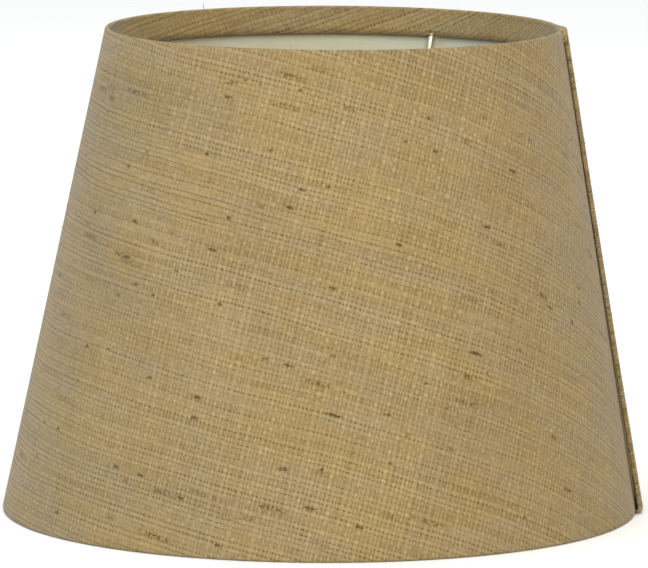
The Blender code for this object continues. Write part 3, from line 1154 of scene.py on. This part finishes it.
@dataclass
class Slubs:
    """Dark lumps in the weft. The marked ones are the largest, and the rest are scattered."""

    form: ShadeForm
    seam: Seam
    plane: ThreadPlane
    scattered: int = 90
    seed: int = 11
    rise: float = 0.00012
    width: float = 0.0011
    marked: tuple[tuple[float, float, float], ...] = (
        (-25, 138, 4),
        (-29, 120, 2),
        (-6, 111, 3),
        (0, 112, 3),
        (17, 125, 2),
        (24, 121, 3),
        (23, 132, 2),
        (45, 114, 4),
        (38, 130, 2),
        (-25, 91, 4),
        (-33, 85, 2),
        (-62, 98, 2),
        (15, 94, 3),
        (36, 98, 5),
        (1, 81, 3),
        (-22, 102, 2),
        (-38, 76, 2),
        (-55, 59, 2),
        (-36, 52, 3),
        (-25, 47, 4),
        (-25, 41, 4),
        (-7, 59, 4),
        (31, 60, 6),
        (2, 44, 7),
        (12, 43, 3),
        (-7, 28, 4),
        (0, 28, 2),
        (20, 52, 2),
        (60, 66, 2),
        (49, 33, 3),
        (-35, 23, 4),
        (-41, 24, 3),
        (-26, 18, 3),
        (-2, 16, 5),
        (7, 11, 4),
        (-18, 4, 4),
        (-60, 32, 2),
        (52, 16, 2),
        (-87, 97, 3),
    )

    def all(self) -> list[Slub]:
        """The marked slubs and the scattered ones."""
        slubs = [
            Slub(self.plane.front + math.radians(azimuth), height / 1000, length / 1000, 1.0)
            for azimuth, height, length in self.marked
        ]
        chance = random.Random(self.seed)
        for _ in range(self.scattered):
            azimuth = chance.uniform(self.seam.end + self.seam.overlap, self.seam.edge)
            height = chance.uniform(0.004, self.form.height - 0.004)
            length = 0.0012 + 0.0030 * chance.random() ** 2
            slubs.append(Slub(azimuth, height, length, chance.uniform(0.5, 1.0)))
        return slubs

    def build(self, finish: bpy.types.Material) -> bpy.types.Object:
        """Makes every slub as a small tapered strand that follows its thread.

        Args:
            finish: The dark fibre.

        Returns:
            The slubs as one piece.
        """
        bm = bmesh.new()
        uv = bm.loops.layers.uv.new(THREAD_MAP)
        darkness = bm.verts.layers.float.new(SLUB_ATTRIBUTE)
        stock = self.form.stock
        chance = random.Random(self.seed + 1)
        for slub in self.all():
            down = (self.form.height - slub.height) / math.cos(self.form.taper)
            middle = self.plane.threads(down, slub.azimuth)
            middle.y = math.floor(middle.y) + 0.5
            reach = slub.length / stock.warp_pitch / 2
            half_width = self.width / stock.weft_pitch / 2 * chance.uniform(0.75, 1.15)
            made = bmesh.ops.create_uvsphere(bm, u_segments=6, v_segments=8, radius=1)
            for vertex in made["verts"]:
                local = vertex.co.copy()
                wander = 0.22 * ripple(slub.height * 900, local.z * 1.7)
                spot = Vector((middle.x + local.z * reach, middle.y + local.x * half_width + wander))
                place_down, azimuth = self.plane.place(spot)
                lift = local.y * self.rise
                vertex.co = self.form.point(-lift, place_down, azimuth)
                vertex.co += self.form.outward(azimuth) * self.seam.lift_at(azimuth, down / self.form.slant)
                fading = min(1.0, 1.6 * (1 - abs(local.z)))
                vertex[darkness] = slub.darkness * fading * (1 - 0.3 * local.x**2)
                for loop in vertex.link_loops:
                    loop[uv].uv = spot
        bmesh.ops.recalc_face_normals(bm, faces=bm.faces)
        slubs = add_piece("weft_slubs", bm, finish, ROUND_WORK)
        return slubs


@dataclass
class HemLoops:
    """The weft threads where they turn over the folded edge of the hem, which make it lumpy."""

    form: ShadeForm
    seam: Seam
    plane: ThreadPlane
    spacing: float = 0.00092
    half_width: float = 0.00042
    rise: float = 0.00022
    sweep: float = math.radians(95)
    middle: float = math.radians(55)
    seed: int = 5

    def build(self, finish: bpy.types.Material) -> bpy.types.Object:
        """Makes each loop as a small strand bent round the hem.

        Args:
            finish: The cloth's material.

        Returns:
            The loops as one piece.
        """
        bm = bmesh.new()
        uv = bm.loops.layers.uv.new(THREAD_MAP)
        darkness = bm.verts.layers.float.new(SLUB_ATTRIBUTE)
        chance = random.Random(self.seed)
        down = 0.0035
        while down < self.form.slant - 0.002:
            self.add_loop(bm, uv, darkness, down, chance)
            down += self.spacing * chance.uniform(0.7, 1.3)
        bmesh.ops.recalc_face_normals(bm, faces=bm.faces)
        loops = add_piece("hem_loops", bm, finish, ROUND_WORK)
        return loops

    def add_loop(
        self,
        bm: bmesh.types.BMesh,
        uv: bmesh.types.BMLayerItem,
        darkness: bmesh.types.BMLayerItem,
        down: float,
        chance: random.Random,
    ) -> None:
        """Adds one loop.

        Args:
            bm: Where to add it.
            uv: The layer of thread counts.
            darkness: The layer that darkens a thread.
            down: Slant distance down from the top corner.
            chance: The source of its irregularity.
        """
        seam = self.seam
        radius = self.form.profile(0, down)[0]
        surface = seam.hem_radius + self.form.stock.cloth / 2
        width = self.half_width * chance.uniform(0.7, 1.2)
        rise = self.rise * chance.uniform(0.6, 1.6)
        slope = chance.uniform(-0.0002, 0.0006)
        dark = 0.75 * chance.random() ** 1.7
        start = self.plane.threads(down, seam.end)
        lift = seam.lap_lift(down / self.form.slant)
        made = bmesh.ops.create_uvsphere(bm, u_segments=8, v_segments=8, radius=1)
        for vertex in made["verts"]:
            local = vertex.co.copy()
            turn = self.middle + self.sweep * local.z
            reach = surface + rise * local.y
            outward = lift - seam.hem_radius + reach * math.cos(turn)
            past = reach * math.sin(turn)
            place = down + local.x * width + slope * local.z
            depth = self.form.stock.cloth / 2 - outward
            vertex.co = self.form.point(depth, place, seam.end - past / radius)
            vertex[darkness] = dark * (1 - 0.5 * abs(local.z))
            for loop in vertex.link_loops:
                loop[uv].uv = start + Vector((local.z * 1.5, local.x * 0.4))


@dataclass
class StrayFibres:
    """Hairs and tufts that have worked loose along the rims and the hem."""

    form: ShadeForm
    seam: Seam
    count: int = 46
    radius: float = 0.00005
    steps: int = 5
    thinning: float = 0.86
    tuft_fibres: int = 6
    tufts: tuple[float, ...] = (0.005, 0.035, 0.036, 0.091)
    rim_threads: tuple[tuple[float, float], ...] = (
        (math.radians(126), 0.0030),
        (math.radians(127), 0.0017),
    )
    thread_thickness: float = 2.6
    seed: int = 29

    def build(self, finish: bpy.types.Material) -> bpy.types.Object:
        """Makes every fibre as a thin tapering tube that curls as it goes.

        Args:
            finish: The fibre's material.

        Returns:
            The fibres as one piece.
        """
        bm = bmesh.new()
        chance = random.Random(self.seed)
        top_fold = self.form.stock.turn_in_depth / 2
        for index in range(self.count):
            azimuth = chance.uniform(-math.pi, math.pi)
            if index % 3 == 0:
                root, heading = self.on_hem(chance.uniform(0.005, self.form.slant - 0.003), chance)
            elif index % 3 == 1:
                root = self.form.point(top_fold, 0.0002, azimuth)
                heading = Vector((0, 0, 1)) + self.form.outward(azimuth) * chance.uniform(-0.8, 0.8)
            else:
                root = self.form.point(0.0, chance.uniform(0.002, self.form.slant - 0.002), azimuth)
                heading = self.form.outward(azimuth) + Vector((0, 0, chance.uniform(-2, 2)))
            self.grow(bm, root, heading.normalized(), chance.uniform(0.0007, 0.0024), chance)
        for down in self.tufts:
            for _ in range(self.tuft_fibres):
                root, heading = self.on_hem(down + chance.uniform(-0.0006, 0.0006), chance)
                self.grow(bm, root, heading.normalized(), chance.uniform(0.0008, 0.0016), chance)
        for azimuth, length in self.rim_threads:
            root = self.form.point(top_fold, 0.0002, azimuth)
            heading = Vector((math.cos(azimuth), 0, 1.2))
            self.grow(bm, root, heading.normalized(), length, chance, self.thread_thickness)
        fibres = add_piece("stray_fibres", bm, finish, ROUND_WORK)
        return fibres

    def on_hem(self, down: float, chance: random.Random) -> tuple[Vector, Vector]:
        """Where a fibre leaves the hem, and the way it starts."""
        edge = self.seam.edge
        root = self.form.point(-self.seam.lap_lift(down / self.form.slant), down, edge)
        return root, self.form.outward(edge) + Vector((0, 0, chance.uniform(-1.5, 1.5)))

    def grow(
        self,
        bm: bmesh.types.BMesh,
        root: Vector,
        heading: Vector,
        length: float,
        chance: random.Random,
        thickness: float = 1.0,
    ) -> None:
        """Adds one fibre.

        Args:
            bm: Where to add it.
            root: Where it leaves the cloth.
            heading: The way it starts.
            length: How long it is.
            chance: The source of its curl.
            thickness: How many times thicker it is than the rest.
        """
        radius = self.radius * thickness
        turn = heading.to_track_quat("Z", "Y").to_matrix().to_4x4()
        base = root - heading * radius * 3
        made = bmesh.ops.create_circle(
            bm, cap_ends=True, segments=4, radius=radius, matrix=Matrix.Translation(base) @ turn
        )
        tip = list({face for vertex in made["verts"] for face in vertex.link_faces})
        curl = Vector((chance.uniform(-1, 1), chance.uniform(-1, 1), chance.uniform(-1, 1))) * 0.5
        centre = base.copy()
        for _ in range(self.steps):
            heading = (heading + curl).normalized()
            stride = heading * length / self.steps
            verts, tip = extrude_faces(bm, tip)
            bmesh.ops.translate(bm, vec=stride, verts=verts)
            centre += stride
            bmesh.ops.scale(bm, vec=[self.thinning] * 3, space=Matrix.Translation(-centre), verts=verts)


def cone_sheet(
    form: ShadeForm,
    plane: ThreadPlane,
    azimuths: Sequence[float],
    downs: Sequence[float],
    depth: Callable[[float, float], float],
) -> bmesh.types.BMesh:
    """A plain sheet on the cone.

    Args:
        form: The shade's form.
        plane: The flat cut.
        azimuths: Its columns.
        downs: Its rows, as distances down from the top corner.
        depth: How deep it lies at an azimuth and a distance down.

    Returns:
        The sheet's middle surface.
    """

    def place(column: int, row: int) -> Vector:
        """Where a vertex goes."""
        return form.point(depth(azimuths[column], downs[row]), downs[row], azimuths[column])

    def threads(column: int, row: int) -> Vector:
        """The thread counts of a vertex."""
        return plane.threads(downs[row], azimuths[column])

    return bent_sheet(len(azimuths), len(downs), place, threads)


@dataclass
class Lining:
    """The stiff white sheet behind the cloth. It laps over itself at the seam, as the cloth does."""

    form: ShadeForm
    seam: Seam
    plane: ThreadPlane
    edge_inset: float = 0.0009
    hem_clearance: float = math.radians(2.6)
    rows: int = 14
    columns: int = 340
    lap_columns: int = 24
    waver: float = 0.00003

    def build(self, finish: bpy.types.Material) -> bpy.types.Object:
        """Makes the lining.

        Args:
            finish: The film's material.

        Returns:
            The lining.
        """
        seam = self.seam
        last = seam.end + self.hem_clearance
        ramp_start = last + seam.overlap + seam.ramp
        azimuths = spread(seam.start, ramp_start, self.columns)
        azimuths += spread(ramp_start, last, self.lap_columns)[1:]
        downs = spread(self.edge_inset, self.form.slant - self.edge_inset, self.rows)

        def depth(azimuth: float, down: float) -> float:
            """Depth of the lining's middle, which wavers a little."""
            waver = self.waver * ripple(21, 5 * math.cos(azimuth), 5 * math.sin(azimuth), down * 30)
            return self.form.stock.lining_depth - seam.lift_at(azimuth, down / self.form.slant) + waver

        bm = cone_sheet(self.form, self.plane, azimuths, downs, depth)
        lining = add_piece("lining_sheet", bm, finish, SHEET_WORK)
        thicken(lining, self.form.stock.lining)
        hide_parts("backing_sheet")
        declare_band(lining, self.form, downs[0], downs[-1], seam.start - last)
        return lining


@dataclass
class Tape:
    """The adhesive strip inside the seam, between the cover's first edge and its lap."""

    form: ShadeForm
    seam: Seam
    plane: ThreadPlane
    thickness: float = 0.0002
    inset: float = math.radians(1)
    end_inset: float = 0.005
    rows: int = 24
    columns: int = 10

    def build(self, finish: bpy.types.Material) -> bpy.types.Object:
        """Makes the tape.

        Args:
            finish: The tape's material.

        Returns:
            The tape.
        """
        azimuths = spread(self.seam.start - self.inset, self.seam.edge + self.inset, self.columns)
        downs = spread(self.end_inset, self.form.slant - self.end_inset, self.rows)
        above = 0.75 * self.form.stock.layer_gap + self.thickness / 2
        bm = cone_sheet(self.form, self.plane, azimuths, downs, lambda azimuth, down: -above)
        tape = add_piece("seam_adhesive", bm, finish, SHEET_WORK)
        thicken(tape, self.thickness)
        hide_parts("seam_tape")
        declare_band(tape, self.form, downs[0], downs[-1], azimuths[0] - azimuths[-1])
        return tape


@dataclass
class Carrier:
    """The wirework: two rings, three cranked spokes, their welds and the pressed fitter ring."""

    form: ShadeForm
    round_steps: int = 144
    wire_sides: int = 16
    leg_steps: int = 6
    bend_steps: int = 12
    arm_steps: int = 8
    bend_radius: float = 0.008
    lean: float = math.radians(18)
    fitter_sheet: float = 0.0012
    fitter_face: float = 0.006
    edge_radius: float = 0.0004
    weld_radius: float = 0.001
    weld_sink: float = 0.0001

    @staticmethod
    def spoke_nodes() -> list[str]:
        """The names of the spokes in the frame."""
        return sorted(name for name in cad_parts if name.startswith("spoke_"))

    @staticmethod
    def spoke_azimuths() -> list[float]:
        """The azimuth of each spoke."""
        azimuths = []
        for node in Carrier.spoke_nodes():
            low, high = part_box(node)
            azimuths.append(math.atan2(low.y + high.y, low.x + high.x) + SPOKE_TURN)
        return azimuths

    def build(self, wire: bpy.types.Material, pressing: bpy.types.Material) -> list[bpy.types.Object]:
        """Makes all the wirework.

        Args:
            wire: The finish of the rings, spokes and welds.
            pressing: The finish of the fitter ring.

        Returns:
            The pieces.
        """
        pieces = [self.ring(node, wire) for node in ("top_ring", "bottom_ring")]
        pieces += [self.spoke(node, wire) for node in self.spoke_nodes()]
        pieces.append(self.fitter(pressing))
        pieces.append(self.welds(wire))
        return pieces

    def ring(self, node: str, finish: bpy.types.Material) -> bpy.types.Object:
        """A wire ring: a circle spun about the axis."""
        low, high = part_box(node)
        radius = high.x - self.form.stock.ring_wire / 2
        bm = bmesh.new()
        turn = Matrix.Translation((radius, 0, (low.z + high.z) / 2)) @ Matrix.Rotation(math.pi / 2, 4, "X")
        made = bmesh.ops.create_circle(
            bm, segments=self.wire_sides, radius=self.form.stock.ring_wire / 2, matrix=turn
        )
        self.spin_closed(bm, made["verts"])
        ring = add_piece(f"{node}_wire", bm, finish, SHEET_WORK)
        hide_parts(node)
        return ring

    def spin_closed(self, bm: bmesh.types.BMesh, verts: list[bmesh.types.BMVert]) -> None:
        """Spins an outline all the way round +Z, closes it and turns its faces out."""
        edges = list({edge for vertex in verts for edge in vertex.link_edges})
        bmesh.ops.spin(
            bm,
            geom=[*verts, *edges],
            cent=(0, 0, 0),
            axis=(0, 0, 1),
            angle=2 * math.pi,
            steps=self.round_steps,
            use_merge=True,
        )
        bmesh.ops.remove_doubles(bm, verts=bm.verts, dist=1e-6)
        bmesh.ops.recalc_face_normals(bm, faces=bm.faces)

    def spoke(self, node: str, finish: bpy.types.Material) -> bpy.types.Object:
        """A cranked spoke, made as bent wire: a straight leg, one bend and a straight arm to the fitter."""
        low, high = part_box(node)
        stock = self.form.stock
        azimuth = math.atan2(low.y + high.y, low.x + high.x) + SPOKE_TURN
        arm_height = low.z + stock.spoke_wire / 2
        top_low, top_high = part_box("top_ring")
        ring_radius = top_high.x - stock.ring_wire / 2
        ring_underside = (top_low.z + top_high.z) / 2 - stock.ring_wire / 2
        start = Vector((ring_radius, 0, ring_underside - 2 * stock.wire_gap))
        down = Vector((-math.sin(self.lean), 0, -math.cos(self.lean)))
        bend_drop = self.bend_radius * (1 - math.sin(self.lean))
        leg = (start.z - arm_height - bend_drop) / math.cos(self.lean)
        bend_start = start + down * leg
        centre = bend_start + Vector((-math.cos(self.lean), 0, math.sin(self.lean))) * self.bend_radius
        bm = bmesh.new()
        facing = Matrix.Translation(start) @ down.to_track_quat("Z", "Y").to_matrix().to_4x4()
        made = bmesh.ops.create_circle(
            bm, cap_ends=True, segments=self.wire_sides, radius=stock.spoke_wire / 2, matrix=facing
        )
        cap = list({face for vertex in made["verts"] for face in vertex.link_faces})
        for _ in range(self.leg_steps):
            verts, cap = extrude_faces(bm, cap)
            bmesh.ops.translate(bm, vec=down * leg / self.leg_steps, verts=verts)
        step = (math.pi / 2 - self.lean) / self.bend_steps
        for _ in range(self.bend_steps):
            verts, cap = extrude_faces(bm, cap)
            bmesh.ops.rotate(bm, cent=centre, matrix=Matrix.Rotation(step, 3, "Y"), verts=verts)
        arm = centre.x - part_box("fitter_ring")[1].x - stock.wire_gap
        for _ in range(self.arm_steps):
            verts, cap = extrude_faces(bm, cap)
            bmesh.ops.translate(bm, vec=(-arm / self.arm_steps, 0, 0), verts=verts)
        bmesh.ops.recalc_face_normals(bm, faces=bm.faces)
        bmesh.ops.rotate(bm, cent=(0, 0, 0), matrix=Matrix.Rotation(azimuth, 3, "Z"), verts=bm.verts)
        spoke = add_piece(f"{node}_wire", bm, finish, SHEET_WORK)
        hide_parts(node)
        return spoke

    def fitter(self, finish: bpy.types.Material) -> bpy.types.Object:
        """The pressed ring: its section with rounded corners, spun about the axis."""
        low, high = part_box("fitter_ring")
        outer, sheet = high.x, self.fitter_sheet
        hole = outer - self.fitter_face
        outline = [
            (hole, high.z),
            (outer, high.z),
            (outer, low.z),
            (outer - sheet, low.z),
            (outer - sheet, high.z - sheet),
            (hole, high.z - sheet),
        ]
        bm = bmesh.new()
        corners = [bm.verts.new((radius, 0, height)) for radius, height in outline]
        bm.faces.new(corners)
        rounding = {"offset": self.edge_radius, "segments": 3, "profile": 0.5, "material": -1}
        bmesh.ops.bevel(bm, geom=corners, affect="VERTICES", **rounding)
        bmesh.ops.delete(bm, geom=bm.faces[:], context="FACES_ONLY")
        self.spin_closed(bm, bm.verts[:])
        fitter = add_piece("fitter_pressing", bm, finish, PRESSED_WORK)
        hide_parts("fitter_ring")
        return fitter

    def welds(self, finish: bpy.types.Material) -> bpy.types.Object:
        """The weld beads that join each spoke to the top ring and to the fitter ring."""
        stock = self.form.stock
        top_low, top_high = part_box("top_ring")
        fitter_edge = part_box("fitter_ring")[1].x
        ring_radius = top_high.x - stock.ring_wire / 2
        ring_underside = (top_low.z + top_high.z) / 2 - stock.ring_wire / 2
        bm = bmesh.new()
        for node, azimuth in zip(self.spoke_nodes(), self.spoke_azimuths()):
            arm_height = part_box(node)[0].z + stock.spoke_wire / 2
            spots = (
                (ring_radius - self.weld_sink, ring_underside, (1.25, 1.35, 0.8)),
                (fitter_edge + self.weld_sink, arm_height, (0.55, 1.5, 1.3)),
            )
            for radius, height, shape in spots:
                made = bmesh.ops.create_uvsphere(bm, u_segments=14, v_segments=10, radius=self.weld_radius)
                bmesh.ops.scale(bm, vec=shape, verts=made["verts"])
                for vertex in made["verts"]:
                    vertex.co *= 1 + 0.12 * ripple(azimuth, *(vertex.co * 2200))
                bmesh.ops.translate(bm, vec=(radius, 0, height), verts=made["verts"])
                turn = Matrix.Rotation(azimuth, 3, "Z")
                bmesh.ops.rotate(bm, cent=(0, 0, 0), matrix=turn, verts=made["verts"])
        welds = add_piece("spoke_welds", bm, finish, ROUND_WORK)
        return welds


# ---------------------------------------------------------------------------------------------------
# The studio
# ---------------------------------------------------------------------------------------------------


@dataclass
class Studio:
    """A white room: paper floor, soft lamps and a long lens."""

    form: ShadeForm
    distance: float = 2.1
    elevation: float = math.radians(7.8)
    roll: float = math.radians(-0.25)
    lens: float = 371.2
    aim_height_share: float = 0.467
    aim_side: float = -0.0008
    room: float = 0.55

    def floor(self) -> bpy.types.Object:
        """The paper that the shade stands on."""
        bm = bmesh.new()
        bmesh.ops.create_grid(bm, x_segments=4, y_segments=4, size=30)
        bmesh.ops.translate(bm, vec=(0, 0, CAD_LOW.z - 0.0001), verts=bm.verts)
        mesh = bpy.data.meshes.new("studio_floor")
        bm.to_mesh(mesh)
        bm.free()
        mesh.materials.append(StudioFinish().material())
        floor = bpy.data.objects.new("studio_floor", mesh)
        bpy.context.scene.collection.objects.link(floor)
        return floor

    def camera(self) -> bpy.types.Object:
        """The camera, in front of the shade and a little above it."""
        data = bpy.data.cameras.new("camera")
        data.lens = self.lens
        data.clip_end = 100
        camera = bpy.data.objects.new("camera", data)
        aim = Vector((self.aim_side, 0, self.form.height * self.aim_height_share))
        back = Vector((0, -math.cos(self.elevation), math.sin(self.elevation)))
        camera.location = aim + back * self.distance
        facing = (-back).to_track_quat("-Z", "Y").to_matrix()
        camera.rotation_euler = (facing @ Matrix.Rotation(-self.roll, 3, "Z")).to_euler()
        bpy.context.scene.collection.objects.link(camera)
        bpy.context.scene.camera = camera
        return camera

    def lamp(self, name: str, place: Vector, size: float, power: float, colour: Colour) -> None:
        """One square softbox that faces the shade.

        Args:
            name: The lamp's name.
            place: Where it stands.
            size: Its side.
            power: Its power in watts.
            colour: The colour of its light.
        """
        data = bpy.data.lights.new(name, "AREA")
        data.size = size
        data.energy = power
        data.color = colour
        lamp = bpy.data.objects.new(name, data)
        lamp.location = place
        aim = Vector((0, 0, self.form.height / 2))
        lamp.rotation_euler = (aim - place).to_track_quat("-Z", "Y").to_euler()
        bpy.context.scene.collection.objects.link(lamp)

    def light(self) -> None:
        """Sets the room's own light and the lamps."""
        world = bpy.data.worlds.new("white_room")
        world.use_nodes = True
        g = Graph(world.node_tree)
        background = world.node_tree.nodes["Background"]
        background.inputs["Color"].default_value = (1, 1, 1, 1)
        seen = g.node("ShaderNodeLightPath").outputs["Is Camera Ray"]
        g.feed(background.inputs["Strength"], g.scaled(seen, 0.6, self.room))
        bpy.context.scene.world = world
        self.lamp("front", Vector((0.05, -2.8, 1.4)), 1.8, 74, (1.0, 0.98, 0.88))
        self.lamp("overhead", Vector((0.0, 0.6, 3.4)), 3.0, 66, (1.0, 1.0, 1.0))
        self.lamp("left", Vector((-2.6, -1.0, 1.0)), 1.2, 20, (0.3, 0.55, 1.0))

    def build(self) -> None:
        """Sets up the floor, the camera and the light."""
        self.floor()
        self.camera()
        self.light()
        bpy.context.scene.view_settings.view_transform = "Standard"
        log.info("studio ready")


def main() -> None:
    """Builds the finishes, the shade and the studio, in that order."""
    logging.basicConfig(level=logging.INFO, format="%(name)s: %(message)s")
    form = ShadeForm.from_frame(Stock())
    seam = Seam()
    plane = ThreadPlane(form)
    sizes = [size * 1e3 for size in (form.bottom_radius, form.top_radius, form.height)]
    log.info("form: %.1f to %.1f mm radius, %.1f mm high", *sizes)
    effects = Effects()
    cloth = ClothFinish().material(effects)
    loose_fibre = FibreFinish("loose_fibre", (0.45, 0.35, 0.18), (0.16, 0.10, 0.05)).material(effects)
    wire = PlatedFinish("plated_wire").material(effects)
    pressing = PlatedFinish("plated_pressing", bright=(0.66, 0.64, 0.56)).material(effects)
    cover = Cover(form, seam, plane)
    cloth_piece = cover.build(cloth)
    slubs = Slubs(form, seam, plane).build(cloth)
    fibres = StrayFibres(form, seam).build(loose_fibre)
    loops = HemLoops(form, seam, plane).build(cloth)
    cover.declare(cloth_piece)
    Lining(form, seam, plane).build(LiningFinish("lining_film").material(effects))
    adhesive = LiningFinish("tape_film", (0.62, 0.50, 0.28), (0.50, 0.38, 0.18), (0.30, 0.22, 0.10))
    Tape(form, seam, plane).build(adhesive.material(effects))
    Carrier(form).build(wire, pressing)
    Studio(form).build()


if __name__ == "__main__":
    main()
